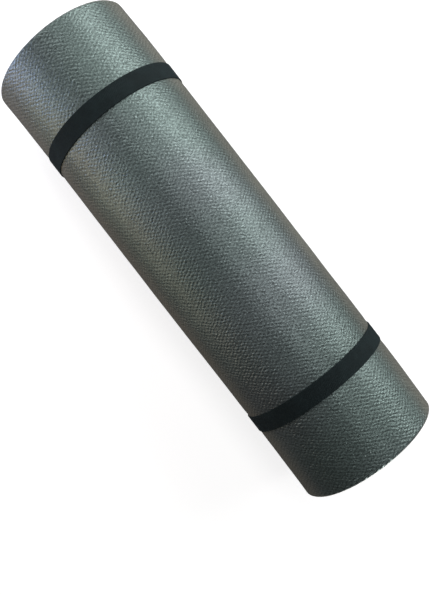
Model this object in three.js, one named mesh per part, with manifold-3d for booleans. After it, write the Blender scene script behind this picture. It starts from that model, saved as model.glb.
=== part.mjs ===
// A closed-cell foam sleeping pad, rolled up and held by two sewn elastic bands.
//
// Millimetres, +Z up, +X along the roll. The origin is on the ground under the middle of the roll.
// The sheet is a laminate: a foam core with an embossed film skin on each face. It is wound as one
// spiral, and its free end is tucked underneath. The roll rests on its bands: on one side on the
// corner they make round the free end, on the other side on the lap where each band is sewn.

import * as THREE from "three";
import { mergeVertices } from "three/addons/utils/BufferGeometryUtils.js";
import Module from "manifold-3d";

// ---- The sheet, before it is rolled ----
const SHEET_LENGTH = 1800;
const SHEET_WIDTH = 500;
const SHEET_THICKNESS = 9.5; // a 10 mm pad, squeezed a little by the winding
const SKIN_THICKNESS = 0.4; // film and the relief pressed into it
const BOND_GAP = 0.1; // between a skin and the core it is bonded to

// ---- The roll ----
const BORE_RADIUS = 8; // the hole left in the middle
const TURN_GAP = 0.3; // air between one turn and the next
const SEGMENTS_PER_TURN = 40;

// ---- The elastic bands ----
const BAND_WIDTH = 18.5; // 20 mm webbing, narrower while it is stretched
const BAND_THICKNESS = 1.3;
const BAND_CLEARANCE = 0.3; // from the roll, so that a band can slide along it
const RIGHT_BAND_INSET = 91; // from the +X end of the roll to the middle of the band
const LEFT_BAND_INSET = 85; // from the -X end

// ---- The sewn lap that closes each band ----
const LAP_LENGTH = 24;
const LAP_RAMP = 10; // length over which the band climbs onto its own start
const LAP_GAP = 0.3; // between the two layers
const LAP_START = 16; // past the point where the band meets the roll again after the free end

// ---- The thread: one closed box of running stitches through both layers of the lap ----
const THREAD_SIZE = 0.4;
const THREAD_GAP = 0.15; // to the webbing, above and below
const THREAD_HOLE = 0.8;
const STITCH_MARGIN = 3; // from the edges of the lap to the box of stitches
const STITCHES_ALONG = 5; // an odd number each way keeps a stitch on top at every corner
const STITCHES_ACROSS = 3;

const FULL_TURN = 2 * Math.PI;

const wasm = await Module();
wasm.setup();

// ---- Materials ----

const film = new THREE.MeshStandardMaterial({ color: 0x4c5453, roughness: 0.42, metalness: 0.35 });
const filmInside = new THREE.MeshStandardMaterial({ color: 0x474d4d, roughness: 0.5, metalness: 0.25 });
const foam = new THREE.MeshStandardMaterial({ color: 0x2f3334, roughness: 0.95, metalness: 0 });
const webbing = new THREE.MeshStandardMaterial({ color: 0x14191b, roughness: 0.9, metalness: 0 });
const thread = new THREE.MeshStandardMaterial({ color: 0x1b1f21, roughness: 0.7, metalness: 0 });

// ---- The spiral, in the roll's cross-section ----

const pitch = SHEET_THICKNESS + TURN_GAP;
const startRadius = BORE_RADIUS + SHEET_THICKNESS / 2; // of the sheet's middle surface

// The angle wound so far when the middle surface has used up a length of sheet.
function woundAngle(length) {
  const growth = pitch / Math.PI;
  return (FULL_TURN / pitch) * (Math.sqrt(startRadius ** 2 + growth * length) - startRadius);
}

// The angles at which the spiral is sampled. Turns share them, so their facets stay parallel.
function spiralAngles(from, to) {
  const step = FULL_TURN / SEGMENTS_PER_TURN;
  const angles = [];
  for (let i = Math.ceil(from / step); i * step < to; i++) angles.push(i * step);
  return [...angles, to];
}

// A point on the sheet, at a height above its middle surface.
function spiralPoint(angle, height) {
  const radius = startRadius + (pitch * angle) / FULL_TURN + height;
  return new THREE.Vector2(radius * Math.cos(angle), radius * Math.sin(angle));
}

// The closed outline of one layer of the sheet, between two heights.
function layerOutline(lowHeight, highHeight) {
  const angles = spiralAngles(0, woundAngle(SHEET_LENGTH));
  const inside = angles.map((angle) => spiralPoint(angle, lowHeight));
  const outside = angles.map((angle) => spiralPoint(angle, highHeight));
  return [...outside, ...inside.reverse()];
}

// ---- The taut loop round the roll, which is the convex hull of its outline ----

function cross(origin, a, b) {
  return (a.x - origin.x) * (b.y - origin.y) - (a.y - origin.y) * (b.x - origin.x);
}

// Andrew's monotone chain, anticlockwise.
function convexHull(points) {
  const sorted = [...points].sort((a, b) => a.x - b.x || a.y - b.y);
  const chain = (list) => {
    const kept = [];
    for (const point of list) {
      while (kept.length > 1 && cross(kept.at(-2), kept.at(-1), point) <= 0) kept.pop();
      kept.push(point);
    }
    return kept.slice(0, -1);
  };
  return [...chain(sorted), ...chain(sorted.reverse())];
}

// The index of a closed loop's longest edge, which runs from that point to the next.
function longestEdge(points) {
  const lengths = points.map((point, i) => point.distanceTo(points[(i + 1) % points.length]));
  return lengths.indexOf(Math.max(...lengths));
}

const endAngle = woundAngle(SHEET_LENGTH);
const lastTurn = spiralAngles(endAngle - FULL_TURN, endAngle);
const hull = convexHull(lastTurn.map((angle) => spiralPoint(angle, SHEET_THICKNESS / 2)));

// The hull's longest edge bridges the step at the free end. The loop starts where it lands.
const bridge = longestEdge(hull);
const loop = [...hull.slice(bridge + 1), ...hull.slice(0, bridge + 1)];

// Unit normals of the loop's edges, and the mitred normal at each of its corners.
const edgeNormals = loop.map((point, i) => {
  const along = loop[(i + 1) % loop.length].clone().sub(point).normalize();
  return new THREE.Vector2(along.y, -along.x);
});
const mitres = loop.map((_, i) => {
  const before = edgeNormals.at(i - 1);
  const after = edgeNormals[i];
  return before.clone().add(after).divideScalar(1 + before.dot(after));
});

// Length along the loop at each corner, and once round.
const cornerDistances = [0];
for (const [i, point] of loop.entries()) {
  cornerDistances.push(cornerDistances[i] + point.distanceTo(loop[(i + 1) % loop.length]));
}
const loopLength = cornerDistances.at(-1);

// Which edge a distance along the loop falls on, and how far along that edge.
function edgeAt(distance) {
  const wrapped = THREE.MathUtils.euclideanModulo(distance, loopLength);
  const edge = cornerDistances.findLastIndex((start) => start <= wrapped);
  const share = (wrapped - cornerDistances[edge]) / (cornerDistances[edge + 1] - cornerDistances[edge]);
  return { edge, share };
}

// A point at a distance along the loop and a height above it. Its facets stay parallel to the roll's.
function loopPoint(distance, height) {
  const { edge, share } = edgeAt(distance);
  const next = (edge + 1) % loop.length;
  const from = loop[edge].clone().addScaledVector(mitres[edge], height);
  const to = loop[next].clone().addScaledVector(mitres[next], height);
  return from.lerp(to, share);
}

// ---- Solids ----

// Extrudes an outline of the cross-section along the roll, centred on its length.
function extruded(outline, length) {
  const shape = new THREE.Shape(outline);
  const geometry = new THREE.ExtrudeGeometry(shape, { depth: length, bevelEnabled: false });
  return geometry.translate(0, 0, -length / 2);
}

function toSolid(geometry) {
  const merged = mergeVertices(geometry.clone().deleteAttribute("normal").deleteAttribute("uv"), 1e-4);
  return new wasm.Manifold(
    new wasm.Mesh({
      numProp: 3,
      vertProperties: merged.attributes.position.array,
      triVerts: new Uint32Array(merged.index.array),
    }),
  );
}

function toGeometry(solid) {
  const mesh = solid.getMesh();
  const geometry = new THREE.BufferGeometry();
  geometry.setAttribute("position", new THREE.BufferAttribute(mesh.vertProperties, 3));
  geometry.setIndex(new THREE.BufferAttribute(mesh.triVerts, 1));
  geometry.computeVertexNormals();
  return geometry;
}

// ---- A band: one strip of webbing that goes once round and laps over its own start ----

// Heights above the loop of the lap's underside, of its upper layer and of its top.
const lapBottom = BAND_CLEARANCE + THREAD_SIZE + 2 * THREAD_GAP;
const upperLayer = lapBottom + BAND_THICKNESS + LAP_GAP;
const lapTop = upperLayer + BAND_THICKNESS;

// The band's bends: each one's distance from the start of the lap, and its height above the loop.
const bends = [
  { distance: 0, height: lapBottom },
  { distance: LAP_LENGTH, height: lapBottom },
  { distance: LAP_LENGTH + LAP_RAMP, height: BAND_CLEARANCE },
  { distance: loopLength - LAP_RAMP, height: BAND_CLEARANCE },
  { distance: loopLength, height: upperLayer },
  { distance: loopLength + LAP_LENGTH, height: upperLayer },
];
const bandLength = bends.at(-1).distance;

function bandHeight(distance) {
  const next = Math.max(1, bends.findIndex((bend) => bend.distance >= distance));
  const from = bends[next - 1];
  const to = bends[next];
  return THREE.MathUtils.mapLinear(distance, from.distance, to.distance, from.height, to.height);
}

// The band seen from its edge: it turns at the roll's corners and at its own bends.
function bandOutline() {
  const corners = [...cornerDistances, ...cornerDistances.slice(1).map((distance) => distance + loopLength)]
    .map((distance) => distance - LAP_START)
    .filter((distance) => distance > 0 && distance < bandLength);
  const stops = [...corners, ...bends.map((bend) => bend.distance)].sort((a, b) => a - b);
  const surface = (height) => stops.map((stop) => loopPoint(LAP_START + stop, bandHeight(stop) + height));
  return [...surface(BAND_THICKNESS), ...surface(0).reverse()];
}

// The needle's punctures round the box of stitches, as distances from the lap's start and across the band.
function punctures() {
  const along = LAP_LENGTH - 2 * STITCH_MARGIN;
  const across = BAND_WIDTH - 2 * STITCH_MARGIN;
  const corners = [
    [0, 0],
    [along, 0],
    [along, across],
    [0, across],
  ];
  const points = [];
  corners.forEach(([u, v], i) => {
    const [nextU, nextV] = corners[(i + 1) % corners.length];
    const stitches = i % 2 ? STITCHES_ACROSS : STITCHES_ALONG;
    for (let k = 0; k < stitches; k++) {
      points.push({
        distance: STITCH_MARGIN + THREE.MathUtils.lerp(u, nextU, k / stitches),
        across: THREE.MathUtils.lerp(v, nextV, k / stitches) - across / 2,
      });
    }
  });
  return points;
}

function onLap(puncture, height) {
  const point = loopPoint(LAP_START + puncture.distance, height);
  return new THREE.Vector3(point.x, point.y, puncture.across);
}

// A square bar from one point to another, run on past both so that bars that meet share a corner.
function bar(from, to, size) {
  const length = from.distanceTo(to) + size;
  const geometry = new THREE.BoxGeometry(size, size, length);
  const middle = from.clone().lerp(to, 0.5);
  const facing = new THREE.Matrix4().lookAt(from, to, new THREE.Vector3(0, 0.3, 1));
  return geometry.applyMatrix4(facing).translate(middle.x, middle.y, middle.z);
}

function bandGeometry() {
  const holes = punctures().map((puncture) => {
    const below = onLap(puncture, lapBottom - 1);
    const above = onLap(puncture, lapTop + 1);
    return toSolid(bar(below, above, THREAD_HOLE));
  });
  const strip = toSolid(extruded(bandOutline(), BAND_WIDTH));
  return toGeometry(holes.reduce((solid, hole) => solid.subtract(hole), strip));
}

function threadGeometry() {
  const heights = [lapTop + THREAD_GAP + THREAD_SIZE / 2, lapBottom - THREAD_GAP - THREAD_SIZE / 2];
  const path = punctures().flatMap((puncture, i) => [
    onLap(puncture, heights[(i + 1) % 2]),
    onLap(puncture, heights[i % 2]),
  ]);
  const bars = path.map((point, i) => toSolid(bar(point, path[(i + 1) % path.length], THREAD_SIZE)));
  return toGeometry(bars.reduce((solid, next) => solid.add(next)));
}

// ---- The assembly ----

function namedMesh(name, geometry, material) {
  const mesh = new THREE.Mesh(geometry, material);
  mesh.name = name;
  return mesh;
}

function makeSheet() {
  const skinTop = SHEET_THICKNESS / 2;
  const skinBottom = skinTop - SKIN_THICKNESS;
  const coreTop = skinBottom - BOND_GAP;
  const sheet = new THREE.Group();
  sheet.add(
    namedMesh("foam_core", extruded(layerOutline(-coreTop, coreTop), SHEET_WIDTH), foam),
    namedMesh("outer_skin_film", extruded(layerOutline(skinBottom, skinTop), SHEET_WIDTH), film),
    namedMesh("inner_skin_film", extruded(layerOutline(-skinTop, -skinBottom), SHEET_WIDTH), filmInside),
  );
  return sheet;
}

function makeBand(side, middle) {
  const band = new THREE.Group();
  band.add(
    namedMesh(`${side}_elastic_band`, bandGeometry(), webbing),
    namedMesh(`${side}_band_thread`, threadGeometry(), thread),
  );
  band.position.z = middle;
  return band;
}

const section = new THREE.Group();
section.add(
  makeSheet(),
  makeBand("right", SHEET_WIDTH / 2 - RIGHT_BAND_INSET),
  makeBand("left", LEFT_BAND_INSET - SHEET_WIDTH / 2),
);

// Turn the roll until it rests on its bands: the longest edge of a band's own hull faces down.
const bandHull = convexHull(bandOutline());
const base = longestEdge(bandHull);
section.rotation.z = -bandHull[(base + 1) % bandHull.length].clone().sub(bandHull[base]).angle();

// The cross-section's x and y become the part's Y and Z, and its z, along the roll, becomes X.
const roll = new THREE.Group();
roll.add(section);
roll.rotation.set(Math.PI / 2, 0, Math.PI / 2, "ZYX");

// Stand the roll on the ground, centred on its footprint.
const box = new THREE.Box3().setFromObject(roll, true);
const centre = box.getCenter(new THREE.Vector3());
roll.position.set(-centre.x, -centre.y, -box.min.z);

const part = new THREE.Group();
part.add(roll);

export default part;
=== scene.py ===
import math

import bmesh
import bpy
import numpy as np
from mathutils import Matrix, Vector


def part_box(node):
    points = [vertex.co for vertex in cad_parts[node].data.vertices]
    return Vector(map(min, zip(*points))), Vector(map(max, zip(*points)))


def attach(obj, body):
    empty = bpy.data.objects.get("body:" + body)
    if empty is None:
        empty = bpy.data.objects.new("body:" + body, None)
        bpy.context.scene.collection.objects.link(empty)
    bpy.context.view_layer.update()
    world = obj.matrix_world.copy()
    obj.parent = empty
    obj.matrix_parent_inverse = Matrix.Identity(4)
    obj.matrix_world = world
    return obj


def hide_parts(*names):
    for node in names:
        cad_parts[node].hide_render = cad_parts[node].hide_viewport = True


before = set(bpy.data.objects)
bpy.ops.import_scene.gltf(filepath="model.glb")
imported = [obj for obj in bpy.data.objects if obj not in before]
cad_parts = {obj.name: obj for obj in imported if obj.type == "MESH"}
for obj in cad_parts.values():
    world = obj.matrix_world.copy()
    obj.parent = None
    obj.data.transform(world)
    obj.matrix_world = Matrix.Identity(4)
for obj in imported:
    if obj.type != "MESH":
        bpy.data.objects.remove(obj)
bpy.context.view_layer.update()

# A rolled foam sleeping pad: a foam core with an embossed film on each face, wound as one spiral, and
# two elastic bands, each sewn into a loop. Metres, +X along the roll, +Z up.

# ---- The sheet and how it is wound, as in the part's source ----
SHEET_LENGTH = 1.8
THICKNESS = 0.0095
TURN_GAP = 0.0003
BORE_RADIUS = 0.008
PITCH = THICKNESS + TURN_GAP
START_RADIUS = BORE_RADIUS + THICKNESS / 2
HALF_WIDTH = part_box("foam_core")[1].x

# ---- The soft shape of the roll ----
FILM = 0.00025  # thickness of each film
EDGE_ROUND = 0.0013  # radius to which the cut edges are pressed
RISE = -0.0004  # of the foam's face over its nominal place
SINK = 0.0008  # of the bands' undersides below it
BULGE = 0.00035  # of the foam between the bands, over the rest
BOW = 0.0013  # sideways bend of the roll, of its middle against its ends
STRAIGHT = 0.175  # half the length of the straight middle, where the bands slide
DRIFT = 0.0009  # that the turns don't line up at the ends
BULGE_REACH = 0.15  # of the swelling, to each side of the middle
DROOP = 0.0003  # of the foam's face at the roll's ends
DROOP_REACH = 0.05  # from each end
SLOW_WAVES = 0.00018  # of the foam's face, round and along the roll
QUICK_WAVES = 0.0001
PINCH_HALF = 0.0075  # half the width that a band presses flat
PINCH_SLOPE = 0.011  # from there to the free face
STIFF_RADIUS = 0.03  # inside which the turns keep their nominal place
KNIFE_BULGE = 0.00015  # of the cut edges, at the middle of the thickness
KNIFE_WAVES = 0.00012

# ---- The embossing: a diamond lattice of small grains ----
GRAIN_X = 0.00386  # period along the roll
GRAIN_S = 0.0064  # period round the roll
GRAIN_HEIGHT = 0.000085
GRAIN_UNEVEN = 0.4  # how much the height of a grain varies, as a share of it
GRAIN_ROUGH = 0.12  # height of the roughness between the grains, as a share of theirs
GRAIN_STRAY = 0.36  # how far a grain may stray from its place in the lattice, in quarter periods
GRAIN_FADE = 0.003  # width of the smooth border of the embossing

# ---- The bands ----
BAND_WIDTH = 0.0185
BAND_THICKNESS = 0.00125
CORDS = 14  # lengthwise cords in the webbing
LAP_START = 0.016  # past the point where the band meets the roll again after the free end
LAP_LENGTH = 0.024
LAP_RAMP = 0.008
LAP_GAP = 0.00005
CORD_HEIGHT = 0.00008
YARN_PERIOD = 0.0011  # of two crosswise yarns
EDGE_RADIUS = 0.0005  # of the webbing's rounded edges
SEALED_LENGTH = 0.0009  # at each end of the strip, where it is melted thin
SEALED_LOSS = 0.3  # of its thickness
STITCH_MARGIN = 0.003
STITCHES_ALONG = 5
STITCHES_ACROSS = 3
STITCH_PRESS = 0.0002  # how deep the stitches pull the webbing in
STITCH_SPREAD = 0.0008
THREAD_RADIUS = 0.00027
THREAD_PROUD = 0.8  # share of its radius by which the thread's middle stands over the webbing
THREAD_DIP = 0.0004  # of the thread's middle into the webbing, where the needle went through
THREAD_BELOW = 0.0001  # of the thread's middle under the lap
WIDTH_UNEVEN = 0.02  # how much a band's width varies on its way round, as a share of it

# ---- The colours, as linear red, green, blue and alpha ----
OUTER_FILM = (0.116, 0.156, 0.147, 1)
# Painted rim light: the outer film's colour where it is seen aslant, lighter and browner, in place of light
# reflected at its silhouettes.
OUTER_FILM_PAINTED_RIM = (0.265, 0.268, 0.232, 1)
INNER_FILM = (0.09, 0.10, 0.10, 1)
# Painted rim light: the inner film's colour where it is seen aslant.
INNER_FILM_PAINTED_RIM = (0.11, 0.105, 0.10, 1)
PEARL_SHIFT = (1.09, 0.96, 1.05, 1)  # of a film's colour, from place to place
FOAM = (0.034, 0.038, 0.039, 1)
WEBBING = (0.0077, 0.0138, 0.0149, 1)
WEBBING_SHEEN = (0.6, 0.75, 0.8, 1)
THREAD = (0.02, 0.023, 0.025, 1)
WHITE = (1, 1, 1, 1)

FULL_TURN = 2 * math.pi


# ---- The spiral ----

def wound_angle(length):
    return FULL_TURN / PITCH * (np.sqrt(START_RADIUS**2 + PITCH / math.pi * length) - START_RADIUS)


def wound_length(angle):
    return ((START_RADIUS + PITCH * angle / FULL_TURN) ** 2 - START_RADIUS**2) * math.pi / PITCH


def section(angle, height):
    radius = START_RADIUS + PITCH * angle / FULL_TURN + height
    return np.stack([radius * np.cos(angle), radius * np.sin(angle)], -1)


def convex_hull(points):
    """Andrew's monotone chain, anticlockwise."""
    ordered = sorted(map(tuple, points))

    def chain(run):
        kept = []
        for p in run:
            while len(kept) > 1:
                (ax, ay), (bx, by) = kept[-2:]
                if (bx - ax) * (p[1] - ay) - (by - ay) * (p[0] - ax) > 0:
                    break
                kept.pop()
            kept.append(p)
        return kept[:-1]

    return np.array(chain(ordered) + chain(ordered[::-1]))


def smooth(t):
    t = np.clip(t, 0, 1)
    return t * t * (3 - 2 * t)


def between(a, b, t):
    return a + (b - a) * t


class Loop:
    """A taut loop round an outline: its convex hull.
    Distance zero is where it lands after the longest bridge."""

    STEP = 0.0005

    def __init__(self, outline):
        hull = convex_hull(outline)
        edges = np.linalg.norm(np.roll(hull, -1, 0) - hull, axis=1)
        hull = np.roll(hull, -1 - int(edges.argmax()), 0)
        closed = np.vstack([hull, hull[:1]])
        run = np.concatenate([[0], np.cumsum(np.linalg.norm(np.diff(closed, axis=0), axis=1))])
        self.length = run[-1]
        self.at_step = np.linspace(0, self.length, round(self.length / self.STEP) + 1)
        self.points = np.stack([np.interp(self.at_step, run, closed[:, k]) for k in (0, 1)], -1)
        ring = self.points[:-1]
        along = np.roll(ring, -3, 0) - np.roll(ring, 3, 0)
        normal = np.stack([along[:, 1], -along[:, 0]], -1)
        normal /= np.linalg.norm(normal, axis=1)[:, None]
        self.normals = np.vstack([normal, normal[:1]])

    def at(self, distance, height):
        wrapped = np.mod(distance, self.length)
        point, normal = (
            np.stack([np.interp(wrapped, self.at_step, values[:, k]) for k in (0, 1)], -1)
            for values in (self.points, self.normals)
        )
        return point + normal * np.asarray(height)[..., None]


def round_off(inset):
    """How much lower a face lies at a distance from a cut edge, where the edge is pressed round."""
    past = np.clip(EDGE_ROUND - inset, 0, 0.92 * EDGE_ROUND)
    return EDGE_ROUND - np.sqrt(EDGE_ROUND**2 - past**2)


def edge_drop(x):
    return round_off(HALF_WIDTH - np.abs(x))


def end_drop(length):
    return round_off(np.minimum(length, SHEET_LENGTH - length))


END_ANGLE = float(wound_angle(SHEET_LENGTH))
OUTER_RADIUS = START_RADIUS + PITCH * END_ANGLE / FULL_TURN + THICKNESS / 2

rim_lengths = np.linspace(wound_length(END_ANGLE - FULL_TURN), SHEET_LENGTH, 1500)
rim = section(wound_angle(rim_lengths), THICKNESS / 2 - end_drop(rim_lengths))


def climb(before_lap):
    """Height of a band's underside, by the distance still to go before it laps over its own start."""
    return (BAND_THICKNESS + LAP_GAP) * smooth(1 - before_lap / LAP_RAMP)


# The roll lies on the longest flat of its outline: on its bands, and mostly on their laps.
rim_loop = Loop(rim)
round_trip = np.arange(0, rim_loop.length + LAP_LENGTH, Loop.STEP)
outside = BAND_THICKNESS - SINK + climb(rim_loop.length - round_trip)
lying_on = convex_hull(rim_loop.at(LAP_START + round_trip, outside))
flats = np.roll(lying_on, -1, 0) - lying_on
flat = np.linalg.norm(flats, axis=1).argmax()
REST_TURN = -math.atan2(*flats[flat][::-1])
cosine, sine = math.cos(REST_TURN), math.sin(REST_TURN)
turn = np.array([[cosine, sine], [-sine, cosine]])
AXIS_Z = -(lying_on[flat] @ turn)[1]
rim_y = (rim @ turn)[:, 0]
AXIS_Y = (sum(c.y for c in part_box("outer_skin_film")) - rim_y.min() - rim_y.max()) / 2

BAND_X = {side: sum(c.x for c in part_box(f"{side}_elastic_band")) / 2 for side in ("right", "left")}


def ripple(a, b, seed):
    """A smooth, uneven field between -1 and 1: a few waves that don't share a period."""
    rng = np.random.default_rng(seed)
    total = 0
    for _ in range(5):
        fa, fb = rng.uniform(0.5, 1.6, 2) * rng.choice([-1, 1], 2)
        total = total + np.sin(fa * a + fb * b + rng.uniform(0, FULL_TURN))
    return total / 5


def band_skew(side, angle):
    """How far a band strays along the roll on its way round."""
    lean, wave = {"right": (-0.0012, 0.0003), "left": (0.0001, 0.0003)}[side]
    return lean * np.cos(angle) + wave * np.sin(2 * angle + 0.7)


def groove(x, angle):
    """1 under the bands, 0 away from them."""
    aside = [np.abs(x - BAND_X[side] - band_skew(side, angle)) for side in BAND_X]
    return sum(1 - smooth((d - PINCH_HALF) / PINCH_SLOPE) for d in aside)


def swell(x, angle):
    """How far the roll's face stands out from its nominal place: squeezed by the bands, proud elsewhere."""
    middle = smooth(1 - np.abs(x) / BULGE_REACH)
    near_end = smooth((np.abs(x) - HALF_WIDTH + DROOP_REACH) / DROOP_REACH)
    uneven = SLOW_WAVES * ripple(angle * 3, x * 40, 3) + QUICK_WAVES * ripple(angle * 9, x * 90, 4)
    free = RISE + BULGE * middle - DROOP * near_end + uneven
    return between(free, -SINK, groove(x, angle))


def place(length, x, height):
    """Where a point of the sheet is in the roll: its length from the inner end, place across and height."""
    winding = wound_angle(length)
    angle = winding + REST_TURN
    radius = START_RADIUS + PITCH * winding / FULL_TURN + height
    outwards = smooth((radius - STIFF_RADIUS) / (OUTER_RADIUS - STIFF_RADIUS))
    inner_turns = smooth((END_ANGLE - winding) / FULL_TURN)
    along = x + DRIFT * inner_turns * np.sin(0.9 * winding) * np.cos(0.23 * winding + 1)
    radius = radius + outwards * swell(along, angle)
    bent = np.clip(np.abs(along) - STRAIGHT, 0, None) / (HALF_WIDTH - STRAIGHT)
    y = AXIS_Y + BOW * (1 - bent**2) + radius * np.cos(angle)
    return np.stack([along, y, AXIS_Z + radius * np.sin(angle)], -1)


# ---- Building pieces ----

def add_object(name, data):
    obj = bpy.data.objects.new(name, data)
    bpy.context.scene.collection.objects.link(obj)
    return obj


def add_piece(name, mesh, material, body, node):
    """A piece of the object: it rides a body and takes the place of a CAD node."""
    mesh.shade_smooth()
    mesh.materials.clear()
    mesh.materials.append(material)
    obj = add_object(name, mesh)
    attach(obj, body)
    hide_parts(node)


class Patches:
    """Patches that meet edge to edge. build() welds them into one mesh.
    Each has sheet coordinates in metres for the procedural finish, and its own place in the bake layout."""

    def __init__(self):
        self.points, self.sheet, self.bake, self.faces = [], [], [], []
        self.count = 0

    def add(self, points, sheet, bake, faces):
        points = np.reshape(points, (-1, 3))
        self.points.append(points)
        self.sheet.append(np.reshape(sheet, (-1, 2)))
        self.bake.append(np.reshape(bake, (-1, 2)))
        self.faces += [[self.count + i for i in face] for face in faces]
        self.count += len(points)

    def grid(self, surface, bake_box):
        """surface is points and sheet coordinates, in rows and columns.
        bake_box is two corners of the layout."""
        points, sheet = surface
        rows, columns = points.shape[:2]
        (u0, v0), (u1, v1) = bake_box
        u, v = np.meshgrid(np.linspace(u0, u1, rows), np.linspace(v0, v1, columns), indexing="ij")
        i, j = np.meshgrid(range(rows - 1), range(columns - 1), indexing="ij")
        a = (i * columns + j).ravel()
        quads = np.stack([a, a + 1, a + 1 + columns, a + columns], -1)
        self.add(points, sheet, np.stack([u, v], -1), quads.tolist())

    def zipper(self, first, second, bake_box):
        """Triangles between two lines that start and end side by side but have different points."""
        steps = [np.linspace(0, 1, len(line[0])) for line in (first, second)]
        (u0, v0), (u1, v1) = bake_box
        bake = [np.stack([u0 + (u1 - u0) * t, np.full(len(t), v)], -1) for t, v in zip(steps, (v0, v1))]
        i, j, faces, offset = 0, 0, [], len(first[0])
        while i < len(steps[0]) - 1 or j < len(steps[1]) - 1:
            if j == len(steps[1]) - 1 or (i < len(steps[0]) - 1 and steps[0][i + 1] <= steps[1][j + 1]):
                faces.append([i, i + 1, offset + j])
                i += 1
            else:
                faces.append([i, offset + j + 1, offset + j])
                j += 1
        self.add(*(np.concatenate(pair) for pair in zip(first, second)), np.concatenate(bake), faces)

    def build(self, name, material, body, node):
        mesh = bpy.data.meshes.new(name)
        mesh.from_pydata(np.concatenate(self.points).tolist(), [], self.faces)
        corner = np.zeros(len(mesh.loops), int)
        mesh.loops.foreach_get("vertex_index", corner)
        for layer, values in (("OFBake", self.bake), ("sheet", self.sheet)):
            uv = mesh.uv_layers.new(name=layer)
            uv.data.foreach_set("uv", np.concatenate(values)[corner].astype(np.float32).ravel())
        welded = bmesh.new()
        welded.from_mesh(mesh)
        bmesh.ops.remove_doubles(welded, verts=welded.verts, dist=3e-6)
        bmesh.ops.recalc_face_normals(welded, faces=welded.faces)
        welded.to_mesh(mesh)
        welded.free()
        add_piece(name, mesh, material, body, node)


# ---- Sampling of the sheet ----

ROUNDED = EDGE_ROUND * np.array([0, 0.12, 0.35, 0.65, 1])


def across_samples():
    """Places across the sheet: close together at the bands and at the rounded edges."""
    near_band = np.array([0, PINCH_HALF, 0.0105, 0.014, PINCH_HALF + PINCH_SLOPE])
    places = [BAND_X[side] + sign * near_band for side in BAND_X for sign in (-1, 1)]
    places += [np.linspace(-0.12, 0.12, 5), [-0.22, 0.22], HALF_WIDTH - ROUNDED, ROUNDED - HALF_WIDTH]
    return np.unique(np.round(np.concatenate(places), 6))


def length_samples():
    """Lengths along the sheet: every few degrees of the winding, and close together at the sheet's ends."""
    outer = np.arange(END_ANGLE, END_ANGLE - FULL_TURN * 1.01, -math.radians(5))[1:]
    inner = np.arange(outer[-1], 0.1, -math.radians(8))[1:]
    places = [wound_length(outer), wound_length(inner), ROUNDED, SHEET_LENGTH - ROUNDED]
    return np.unique(np.round(np.concatenate(places), 6))


ACROSS = across_samples()
LENGTHS = length_samples()
OUTER_START = LENGTHS[np.searchsorted(LENGTHS, wound_length(END_ANGLE - FULL_TURN)) - 1]
INNER = LENGTHS[LENGTHS < OUTER_START]
OUTER = LENGTHS[LENGTHS >= OUTER_START]


def sheet_surface(length, x, side, depth, relief=0):
    """Points and sheet coordinates on a face of the sheet (side 1 faces out, -1 in), or a depth below it."""
    length, x = np.broadcast_arrays(length, x)
    level = THICKNESS / 2 - depth - edge_drop(x) - end_drop(length) + relief
    return place(length, x, side * level), np.stack([length, x], -1)


def over(lengths, across):
    return np.meshgrid(lengths, across, indexing="ij")


def wall(place_on_sheet, side, deep):
    """A narrow strip from a face of the sheet down to a depth below it."""
    rows = [sheet_surface(*place_on_sheet, side, depth) for depth in (0, deep)]
    return tuple(np.stack(pair) for pair in zip(*rows))


# ---- The films ----

ROWS = 4 * round((SHEET_LENGTH - OUTER_START) / GRAIN_S)
COLUMNS = 4 * round(2 * HALF_WIDTH / GRAIN_X)
STEP_S = (SHEET_LENGTH - OUTER_START) / ROWS
STEP_X = 2 * HALF_WIDTH / COLUMNS


def embossed_turn(film):
    """The turn that is seen: a lattice with a vertex on every grain, hollow and pass between them.
    Returns the lengths and the places across of the vertices on its border."""
    j, i = np.meshgrid(range(ROWS + 1), range(COLUMNS + 1), indexing="ij")
    length = OUTER_START + STEP_S * j
    x = STEP_X * i - HALF_WIDTH
    lattice = (np.cos(math.pi * (i + j) / 2) + np.cos(math.pi * (i - j) / 2)) / 2
    chance = np.random.default_rng(8).uniform(-1, 1, (4, *length.shape))
    border = np.minimum(np.minimum(length - OUTER_START, SHEET_LENGTH - length), HALF_WIDTH - np.abs(x))
    inside = smooth(border / GRAIN_FADE)
    grains = lattice * (1 + GRAIN_UNEVEN * chance[0]) + GRAIN_ROUGH * chance[1]
    relief = GRAIN_HEIGHT * inside * grains
    stray = GRAIN_STRAY * inside
    strayed = length + stray * STEP_S * chance[2], x + stray * STEP_X * chance[3]
    points, _ = sheet_surface(*strayed, 1, 0, relief)
    sheet = np.stack([length, x], -1)
    bake = np.stack([0.01 + 0.79 * j / ROWS, 0.02 + 0.96 * i / COLUMNS], -1)
    kept = (i + j) % 2 == 0
    number = np.cumsum(kept.ravel()).reshape(kept.shape) - 1
    padded = np.pad(np.where(kept, number, -1), 1, constant_values=-1)
    hollow = np.argwhere(~kept) + 1
    rings = np.stack([padded[tuple((hollow + step).T)] for step in ((-1, 0), (0, 1), (1, 0), (0, -1))], -1)
    faces = [[k for k in ring if k >= 0] for ring in rings.tolist()]
    film.add(points[kept], sheet[kept], bake[kept], faces)
    return length[::2, 0], x[0, ::2]


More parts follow.
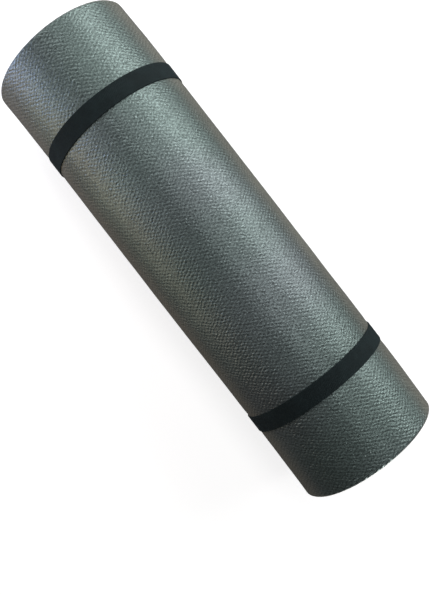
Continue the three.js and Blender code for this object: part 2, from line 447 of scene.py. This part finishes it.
def outer_film(material):
    film = Patches()
    lengths, across = embossed_turn(film)
    film.grid(sheet_surface(*over(INNER, ACROSS), 1, 0), ((0.81, 0.02), (0.89, 0.98)))
    start, before = sheet_surface(OUTER_START, across, 1, 0), sheet_surface(INNER[-1], ACROSS, 1, 0)
    film.zipper(start, before, ((0.02, 0.99), (0.5, 0.995)))
    film.grid(sheet_surface(*over(LENGTHS, ACROSS), 1, FILM), ((0.9, 0.02), (0.99, 0.98)))
    for k, x in enumerate((-HALF_WIDTH, HALF_WIDTH)):
        v = 0.002 + 0.006 * k
        top, under = sheet_surface(lengths, x, 1, 0), sheet_surface(OUTER, x, 1, FILM)
        film.zipper(top, under, ((0.0, v), (0.6, v + 0.004)))
        film.grid(wall((np.append(INNER, OUTER_START), x), 1, FILM), ((0.65, v), (0.66, v + 0.004)))
    top, under = sheet_surface(SHEET_LENGTH, across, 1, 0), sheet_surface(SHEET_LENGTH, ACROSS, 1, FILM)
    film.zipper(top, under, ((0.5, 0.99), (0.9, 0.995)))
    film.grid(wall((0, ACROSS), 1, FILM), ((0.95, 0.99), (0.99, 0.995)))
    film.build("embossed_outer_film", material, "roll", "outer_skin_film")


def inner_film(material):
    film = Patches()
    film.grid(sheet_surface(*over(LENGTHS, ACROSS), -1, 0), ((0.01, 0.02), (0.59, 0.98)))
    film.grid(sheet_surface(*over(LENGTHS, ACROSS), -1, FILM), ((0.61, 0.02), (0.99, 0.98)))
    for k, x in enumerate((-HALF_WIDTH, HALF_WIDTH)):
        film.grid(wall((LENGTHS, x), -1, FILM), ((0.01, 0.002 + 0.006 * k), (0.02, 0.006 + 0.006 * k)))
    for k, length in enumerate((0, SHEET_LENGTH)):
        film.grid(wall((length, ACROSS), -1, FILM), ((0.01 + 0.03 * k, 0.985), (0.02 + 0.03 * k, 0.995)))
    film.build("embossed_inner_film", material, "roll", "inner_skin_film")


# ---- The foam core ----

def cut_face(length, x, share):
    """A cut edge of the core, at a share (-1 to 1) of the way to its faces.
    The knife leaves it a little uneven."""
    length, x, share = np.broadcast_arrays(length, x, share)
    level = THICKNESS / 2 - FILM - edge_drop(x) - end_drop(length)
    bulge = (1 - share**2) * (KNIFE_BULGE + KNIFE_WAVES * ripple(length * 900, share * 3, 5))
    at_edge = np.abs(x) > HALF_WIDTH - 1e-7
    x = x + np.where(at_edge, np.sign(x) * bulge, 0)
    return place(length, x, share * level), np.stack([length, x + share * level], -1)


def foam_core(material):
    core = Patches()
    share = np.linspace(-1, 1, 9)
    for side, v in ((1, 0.52), (-1, 0.76)):
        core.grid(sheet_surface(*over(LENGTHS, ACROSS), side, FILM), ((0.01, v), (0.99, v + 0.22)))
    for k, x in enumerate((-HALF_WIDTH, HALF_WIDTH)):
        points, sheet = cut_face(LENGTHS[:, None], x, share[None, :])
        disc = (points[..., 1:] - [AXIS_Y, AXIS_Z]) / (2.1 * OUTER_RADIUS)
        number = np.arange(points[..., 0].size).reshape(points.shape[:2])
        quads = np.stack([number[:-1, :-1], number[1:, :-1], number[1:, 1:], number[:-1, 1:]], -1)
        bake = 0.25 + 0.49 * disc + [0.5 * k, 0]
        core.add(points, sheet, bake, quads.reshape(-1, 4).tolist())
    for k, length in enumerate((0, SHEET_LENGTH)):
        left = 0.01 + 0.5 * k
        core.grid(cut_face(length, ACROSS[:, None], share[None, :]), ((left, 0.503), (left + 0.48, 0.515)))
    core.build("rolled_foam_sheet", material, "roll", "foam_core")


# ---- The bands ----

def band_section():
    """The webbing's cross-section, once round: places across it and shares of its thickness."""
    top = np.linspace(-1, 1, 4 * CORDS + 1) * (BAND_WIDTH / 2 - EDGE_RADIUS)
    under = top[::-4]
    edge = np.linspace(0, np.pi, 7)[1:-1]
    rounded = BAND_WIDTH / 2 - EDGE_RADIUS + EDGE_RADIUS * np.sin(edge)
    across = np.concatenate([top, rounded, under, -rounded])
    share = [np.ones(len(top)), (1 + np.cos(edge)) / 2, np.zeros(len(under)), (1 - np.cos(edge)) / 2]
    share = np.concatenate(share)
    return np.append(across, across[0]), np.append(share, share[0])


class Band:
    """One strip of webbing that goes once round and laps over its own start."""

    def __init__(self, side):
        self.side = side
        angles = wound_angle(rim_lengths) + REST_TURN
        face = THICKNESS / 2 - end_drop(rim_lengths)
        under = place(rim_lengths, BAND_X[side] + band_skew(side, angles), face)
        self.loop = Loop(under[:, 1:])
        self.length = self.loop.length + LAP_LENGTH

    def point(self, run, across, height):
        """A point by its distance from the strip's start, its place across and its height above the foam."""
        run, across, height = np.broadcast_arrays(run, across, height)
        section_point = self.loop.at(LAP_START + run, height)
        angle = np.arctan2(section_point[..., 1] - AXIS_Z, section_point[..., 0] - AXIS_Y)
        stray = band_skew(self.side, angle) + across * (1 + WIDTH_UNEVEN * np.sin(3 * angle + 1))
        return np.concatenate([(BAND_X[self.side] + stray)[..., None], section_point], -1)

    def stitch_press(self, run, across):
        """How far the rows of stitches pull the webbing in."""
        lap = run - self.loop.length
        along = LAP_LENGTH / 2 - STITCH_MARGIN
        aside = BAND_WIDTH / 2 - STITCH_MARGIN
        du, dv = np.abs(lap - LAP_LENGTH / 2) - along, np.abs(across) - aside
        outside = np.hypot(np.clip(du, 0, None), np.clip(dv, 0, None))
        off = np.where((du > 0) | (dv > 0), outside, -np.maximum(du, dv))
        return STITCH_PRESS * np.exp(-((off / STITCH_SPREAD) ** 2)) * (lap > 0)

    def webbing(self, material):
        strip = Patches()
        across, share = band_section()
        around = np.concatenate([[0], np.cumsum(np.hypot(np.diff(across), np.diff(share) * BAND_THICKNESS))])
        fine = np.linspace(self.loop.length - LAP_RAMP, self.length, 65)
        coarse = np.linspace(0, fine[0], 365)[:-1]
        runs = np.concatenate([coarse, fine])
        quarters = np.array_split(np.arange(len(runs) - 1), 4)
        for k, quarter in enumerate(quarters):
            run = runs[quarter[0] : quarter[-1] + 2][:, None]
            cords = CORD_HEIGHT * np.abs(np.sin(np.pi * CORDS * (across / BAND_WIDTH + 0.5)))
            sealed = 1 - SEALED_LOSS * smooth(1 - np.minimum(run, self.length - run) / SEALED_LENGTH)
            top = sealed * (BAND_THICKNESS - CORD_HEIGHT + cords) - self.stitch_press(run, across)
            height = climb(self.loop.length - run) + share * top
            points = self.point(run, across, height)
            sheet = np.stack(np.broadcast_arrays(run, around), -1)
            strip.grid((points, sheet), ((0.005, 0.005 + 0.25 * k), (0.995, 0.245 + 0.25 * k)))
            if k in (0, 3):
                end = 0 if k == 0 else -1
                cap = range(len(across) - 1)
                strip.add(points[end, :-1], sheet[end, :-1], np.full((len(cap), 2), 0.002), [list(cap)])
        name, body, node = f"{self.side}_webbing_loop", f"{self.side}_band", f"{self.side}_elastic_band"
        strip.build(name, material, body, node)

    def punctures(self):
        """Where the needle went through, in order round the box of stitches."""
        along, aside = LAP_LENGTH - 2 * STITCH_MARGIN, BAND_WIDTH - 2 * STITCH_MARGIN
        box = np.array([[0, 0], [along, 0], [along, aside], [0, aside], [0, 0]]) - [0, aside / 2]
        found = []
        for k in range(4):
            count = STITCHES_ACROSS if k % 2 else STITCHES_ALONG
            found += [between(box[k], box[k + 1], n / count) for n in range(count)]
        return np.array(found) + [self.loop.length + STITCH_MARGIN, 0]

    def thread(self, material):
        holes = self.punctures()
        top = 2 * BAND_THICKNESS + LAP_GAP - STITCH_PRESS
        path = []
        for k, hole in enumerate(holes):
            for t in np.linspace(0, 1, 9):
                run, across = between(hole, holes[(k + 1) % len(holes)], t)
                crown = math.sin(math.pi * t) ** 0.5
                above = top - THREAD_DIP + (THREAD_DIP + THREAD_PROUD * THREAD_RADIUS) * crown
                path.append(self.point(run, across, -THREAD_BELOW * crown if k % 2 else above))
        name = f"{self.side}_box_stitching"
        curve = bpy.data.curves.new(name, "CURVE")
        curve.dimensions = "3D"
        curve.bevel_depth, curve.bevel_resolution = THREAD_RADIUS, 3
        spline = curve.splines.new("POLY")
        spline.points.add(len(path) - 1)
        spline.points.foreach_set("co", np.column_stack([path, np.ones(len(path))]).ravel())
        spline.use_cyclic_u = True
        swept = bpy.data.objects.new(name + "_path", curve)
        mesh = bpy.data.meshes.new_from_object(swept)
        bpy.data.objects.remove(swept)
        add_piece(name, mesh, material, f"{self.side}_band", f"{self.side}_band_thread")


# ---- Finishes ----

class Finish:
    """A material built from nodes around one Principled shader."""

    def __init__(self, name):
        self.material = bpy.data.materials.new(name)
        self.material.use_nodes = True
        self.tree = self.material.node_tree
        self.shader = self.tree.nodes["Principled BSDF"]

    def put(self, socket, value):
        if isinstance(value, bpy.types.NodeSocket):
            self.tree.links.new(value, socket)
        else:
            socket.default_value = value

    def node(self, kind, inputs, output=0, **settings):
        node = self.tree.nodes.new("ShaderNode" + kind)
        for key, value in settings.items():
            setattr(node, key, value)
        for key, value in inputs.items():
            self.put(node.inputs[key], value)
        return node.outputs[output]

    def math(self, operation, *values):
        return self.node("Math", dict(enumerate(values)), operation=operation)

    def fit(self, value, from_low, from_high, to_low, to_high):
        inputs = dict(enumerate((value, from_low, from_high, to_low, to_high)))
        return self.node("MapRange", inputs, interpolation_type="SMOOTHSTEP")

    def mix(self, share, a, b):
        return self.node("Mix", {0: share, 6: a, 7: b}, 2, data_type="RGBA")

    def shade(self, colour, share):
        """The colour, multiplied by a number or by another colour."""
        return self.node("Mix", {0: 1.0, 6: colour, 7: share}, 2, data_type="RGBA", blend_type="MULTIPLY")

    def noise(self, where, scale, detail=2.0, roughness=0.5):
        inputs = {"Vector": where, "Scale": scale, "Detail": detail, "Roughness": roughness}
        return self.node("TexNoise", inputs)

    def sheet_coordinates(self):
        self.sheet = self.node("UVMap", {}, uv_map="sheet")
        split = self.tree.nodes.new("ShaderNodeSeparateXYZ")
        self.tree.links.new(self.sheet, split.inputs[0])
        return split.outputs[0], split.outputs[1]

    def object_coordinates(self):
        return self.node("TexCoord", {}, 3)

    def bump(self, height_mm):
        return self.node("Bump", {"Strength": 1.0, "Distance": 0.001, "Height": height_mm})

    def finish(self, colour, roughness, normal, metallic=0.0, **more):
        inputs = {"Base Color": colour, "Roughness": roughness, "Normal": normal, "Metallic": metallic}
        for key, value in {**inputs, **more}.items():
            self.put(self.shader.inputs[key], value)
        return self.material


def film_finish(name, facing_tint, painted_rim_tint, metallic, roughness, grain_mm):
    """Pearly embossed film: wavering grains in a diamond lattice, broken up by a fine pebbled crinkle."""
    film = Finish(name)
    length, across = film.sheet_coordinates()
    wander = [film.fit(film.noise(film.sheet, scale), 0.3, 0.7, -0.16, 0.16) for scale in (75, 140)]
    along_x = film.math("MULTIPLY_ADD", film.math("ADD", across, HALF_WIDTH), 0.25 / STEP_X, wander[0])
    along_s = film.math("MULTIPLY_ADD", film.math("SUBTRACT", length, OUTER_START), 0.25 / STEP_S, wander[1])
    waves = [
        film.math("COSINE", film.math("MULTIPLY", film.math(sign, along_x, along_s), FULL_TURN))
        for sign in ("ADD", "SUBTRACT")
    ]
    lattice = film.math("ADD", *waves)
    pebbles = film.noise(film.sheet, 520, 1.0, 0.6)
    crinkle = film.noise(film.sheet, 1000, 2.0, 0.6)
    # Fine specks, lighter and darker in the colour: partly the pearly film's own specks, partly painted
    # sparkle in place of its glints.
    flecks_and_painted_sparkle = film.fit(film.noise(film.sheet, 760, 1.0, 0.6), 0.34, 0.66, 0.68, 1.3)
    grain_size = film.fit(film.noise(film.sheet, 170, 1.0), 0.3, 0.7, 0.3, 1.5)
    relief = film.math("MULTIPLY", film.math("MULTIPLY", lattice, grain_size), grain_mm)
    relief = film.math("MULTIPLY_ADD", pebbles, 3.6 * grain_mm, relief)
    relief = film.math("MULTIPLY_ADD", crinkle, 2.0 * grain_mm, relief)
    # Painted rim light: towards its silhouettes, where it is seen aslant, the film's colour turns to its
    # lighter aslant tint in place of reflected light.
    painted_rim_mask = film.node("LayerWeight", {"Blend": 0.35}, 1)
    pearl = film.fit(film.noise(film.object_coordinates(), 6, 1.0), 0.35, 0.65, 0, 1)
    body = film.mix(pearl, facing_tint, film.shade(facing_tint, PEARL_SHIFT))
    colour_with_painted_rim = film.mix(film.fit(painted_rim_mask, 0.3, 0.65, 0, 1), body, painted_rim_tint)
    patches = film.fit(film.noise(film.object_coordinates(), 9, 2.0), 0.3, 0.7, 0.92, 1.08)
    # Painted shade: the colour is darker in the dips between the grains, and a little lighter on their
    # crowns, which is painted light.
    painted_grain_shade = film.fit(lattice, -1.6, 1.0, 0.73, 1.12)
    colour = film.shade(film.shade(film.shade(colour_with_painted_rim, patches), painted_grain_shade), flecks_and_painted_sparkle)
    rough = film.math("MULTIPLY_ADD", crinkle, 0.2, roughness - 0.1)
    return film.finish(colour, rough, film.bump(relief), metallic)


def foam_finish():
    """Cut closed-cell foam: a fine net of cell walls round small hollow cells, which are painted darker than
    the walls: painted shade.
    """
    foam = Finish("foam_core")
    where = foam.object_coordinates()
    cells = foam.node("TexVoronoi", {"Vector": where, "Scale": 1500.0}, 0, feature="F1")
    large = foam.node("TexVoronoi", {"Vector": where, "Scale": 620.0}, 0, feature="SMOOTH_F1")
    relief = foam.math("MULTIPLY_ADD", large, 0.22, foam.math("MULTIPLY", cells, 0.16))
    # Painted shade: the colour is darker in the cells and lighter on their walls.
    light = foam.fit(cells, 0.1, 0.75, 0.55, 1.25)
    cloud = foam.fit(foam.noise(where, 60, 3.0), 0.3, 0.7, 0.85, 1.15)
    colour = foam.shade(foam.shade(FOAM, light), cloud)
    return foam.finish(colour, 0.93, foam.bump(relief))


def webbing_finish():
    """Woven elastic: crosswise yarns over and under lengthwise cords, with a slight fuzz."""
    webbing = Finish("elastic_webbing")
    run, across = webbing.sheet_coordinates()
    cords = webbing.math("SINE", webbing.math("MULTIPLY", across, math.pi * CORDS / BAND_WIDTH))
    yarns = webbing.math("SINE", webbing.math("MULTIPLY", run, FULL_TURN / YARN_PERIOD))
    weave = webbing.math("MULTIPLY", cords, yarns)
    fuzz = webbing.noise(webbing.sheet, 2500, 2.0)
    relief = webbing.math("MULTIPLY_ADD", fuzz, 0.1, webbing.math("MULTIPLY", weave, 0.09))
    # Painted shade and painted light: the colour is darker where the weave dips and lighter on its crowns.
    light = webbing.fit(weave, -1.0, 1.0, 0.6, 1.35)
    worn = webbing.fit(webbing.noise(webbing.object_coordinates(), 70, 3.0), 0.35, 0.7, 0.9, 1.2)
    colour = webbing.shade(webbing.shade(WEBBING, light), worn)
    sheen = {"Sheen Weight": 0.04, "Sheen Roughness": 0.5, "Sheen Tint": WEBBING_SHEEN}
    return webbing.finish(colour, 0.82, webbing.bump(relief), **sheen, **{"Specular IOR Level": 0.14})


def thread_finish():
    """Twisted thread."""
    thread = Finish("sewing_thread")
    where = thread.object_coordinates()
    waves = {"Vector": where, "Scale": 900.0, "Distortion": 1.5}
    twist = thread.node("TexWave", waves, 1, bands_direction="DIAGONAL")
    # Painted shade and painted light: the colour is darker in the grooves of the twist and lighter on its
    # ridges.
    colour = thread.shade(THREAD, thread.fit(twist, 0, 1, 0.6, 1.4))
    return thread.finish(colour, 0.6, thread.bump(thread.math("MULTIPLY", twist, 0.05)))


outer_finish = {"metallic": 0.6, "roughness": 0.38, "grain_mm": 0.078}
inner_finish = {"metallic": 0.3, "roughness": 0.5, "grain_mm": 0.06}
outer_film(film_finish("outer_film", OUTER_FILM, OUTER_FILM_PAINTED_RIM, **outer_finish))
inner_film(film_finish("inner_film", INNER_FILM, INNER_FILM_PAINTED_RIM, **inner_finish))
foam_core(foam_finish())
webbing_material = webbing_finish()
thread_material = thread_finish()
for side in BAND_X:
    band = Band(side)
    band.webbing(webbing_material)
    band.thread(thread_material)

# ---- The floor, the light and the camera ----

PAPER_GLOW = 0.72  # of the floor and of all that lies past it, as the camera sees them
PAPER_SEEN = (0.5, 0.5, 0.5, 1)  # the floor's own colour, as the camera sees it
PAPER_BOUNCE = (0.12, 0.12, 0.12, 1)  # and for the light that it throws back on the object
SURROUNDINGS = 0.01  # the light that comes from all round
FLOOR_REACH = 40
MIDDLE = Vector((0, AXIS_Y, AXIS_Z))
CAMERA_FROM_MIDDLE = Vector((0.03, -0.0225, 0.657))
CAMERA_LOOKS = Vector((0.0088, -0.0127, -0.9999))
CAMERA_UP = Vector((-0.7902, 0.6127, -0.0147))
LENS_MM = 39.08
SENSOR_MM = 36

LONG = (1.3, 0.32)  # sizes of the soft boxes, along the roll and up
NARROW = (1.3, 0.14)
SQUARE = (0.5, 0.5)
SMALL = (0.25, 0.25)
STRIP_DISTANCE = 1.2
BOX_DISTANCE = 1.1
FILL_AIM = 0.08  # how high the fills aim


def backdrop():
    """A plain floor, as pale as the paper of a catalogue, that keeps a faint soft shadow."""
    mesh = bpy.data.meshes.new("floor")
    corners = [(FLOOR_REACH * x, FLOOR_REACH * y, 0) for x, y in ((-1, -1), (1, -1), (1, 1), (-1, 1))]
    mesh.from_pydata(corners, [], [(0, 1, 2, 3)])
    floor = add_object("floor", mesh)
    paper = Finish("paper")
    seen = paper.node("LightPath", {}, 0)
    shade = paper.mix(seen, PAPER_BOUNCE, PAPER_SEEN)
    glow = paper.math("MULTIPLY", seen, PAPER_GLOW)
    lit = {"Emission Color": WHITE, "Emission Strength": glow, "Specular IOR Level": 0.0}
    mesh.materials.append(paper.finish(shade, 1.0, paper.bump(0.0), **lit))


def pale_surroundings():
    """White and as bright as the floor for the camera, but giving hardly any light."""
    world = bpy.data.worlds.new("studio")
    world.use_nodes = True
    nodes, links = world.node_tree.nodes, world.node_tree.links
    background = nodes["Background"]
    background.inputs["Color"].default_value = WHITE
    seen = nodes.new("ShaderNodeLightPath")
    brightness = nodes.new("ShaderNodeMapRange")
    brightness.inputs["To Min"].default_value = SURROUNDINGS
    brightness.inputs["To Max"].default_value = PAPER_GLOW
    links.new(seen.outputs["Is Camera Ray"], brightness.inputs["Value"])
    links.new(brightness.outputs["Result"], background.inputs["Strength"])
    bpy.context.scene.world = world


def soft_box(name, place_at, aim, size, watts):
    """A soft box, size[0] wide along the roll and size[1] high. Watts are one number or one per colour."""
    watts = np.broadcast_to(watts, 3)
    light = bpy.data.lights.new(name, "AREA")
    light.shape = "RECTANGLE"
    light.size, light.size_y = size
    light.energy = watts.max()
    light.color = watts / watts.max()
    obj = add_object(name, light)
    away = (Vector(place_at) - Vector(aim)).normalized()
    wide = (Vector((1, 0, 0)) - away.x * away).normalized()
    turned = Matrix((wide, away.cross(wide), away)).transposed().to_4x4()
    obj.matrix_world = Matrix.Translation(place_at) @ turned
    obj.visible_camera = False


def around(azimuth, elevation, distance):
    """A place round the middle of the roll. Azimuth is from +X towards +Y, in degrees."""
    turned, raised = math.radians(azimuth), math.radians(elevation)
    level = math.cos(raised)
    return MIDDLE + distance * Vector((level * math.cos(turned), level * math.sin(turned), math.sin(raised)))


def camera_above():
    """The camera looks almost straight down, turned so that the roll runs from upper left to lower right."""
    camera = bpy.data.cameras.new("camera")
    camera.lens = LENS_MM
    camera.sensor_width = SENSOR_MM
    obj = add_object("camera", camera)
    forward = CAMERA_LOOKS.normalized()
    right = forward.cross(CAMERA_UP).normalized()
    turned = Matrix((right, right.cross(forward), -forward)).transposed().to_4x4()
    obj.matrix_world = Matrix.Translation(MIDDLE + CAMERA_FROM_MIDDLE) @ turned
    bpy.context.scene.camera = obj


def lights():
    """Long strips over the +Y side, which make the streaks, and a weak one over the -Y side; square boxes
    round the -X end; tinted fills low on the -Y side; and one light for the +X end."""
    for azimuth, elevation, shape, watts in (
        (90, 6, LONG, 3.8),
        (90, 24, NARROW, 4.8),
        (90, 38, LONG, 3.4),
        (90, 75, LONG, 3.6),
        (270, 60, LONG, 0.6),
    ):
        where = around(azimuth, elevation, STRIP_DISTANCE)
        soft_box(f"strip_{azimuth}_{elevation}", where, MIDDLE, shape, watts)
    for azimuth, elevation, watts in ((122, 33, 3.2), (180, 33, 2.4), (150, 14, 2.5), (240, 33, 1.4)):
        where = around(azimuth, elevation, BOX_DISTANCE)
        soft_box(f"box_{azimuth}_{elevation}", where, MIDDLE, SQUARE, watts)
    for x, y, watts in (
        (-0.55, -0.35, (0.68, 0.76, 1.1)),
        (-0.3, -0.45, (0.38, 0.29, 0.21)),
        (-0.05, -0.45, (0.25, 0.2, 0.16)),
    ):
        soft_box("fill_near", (x, y, 2 * FILL_AIM), (x / 2, 0, FILL_AIM), SMALL, watts)
    soft_box("far_end", (0.95, 0, 0.1), MIDDLE, SMALL, 5.0)


backdrop()
lights()
camera_above()
pale_surroundings()
bpy.context.scene.view_settings.view_transform = "Standard"
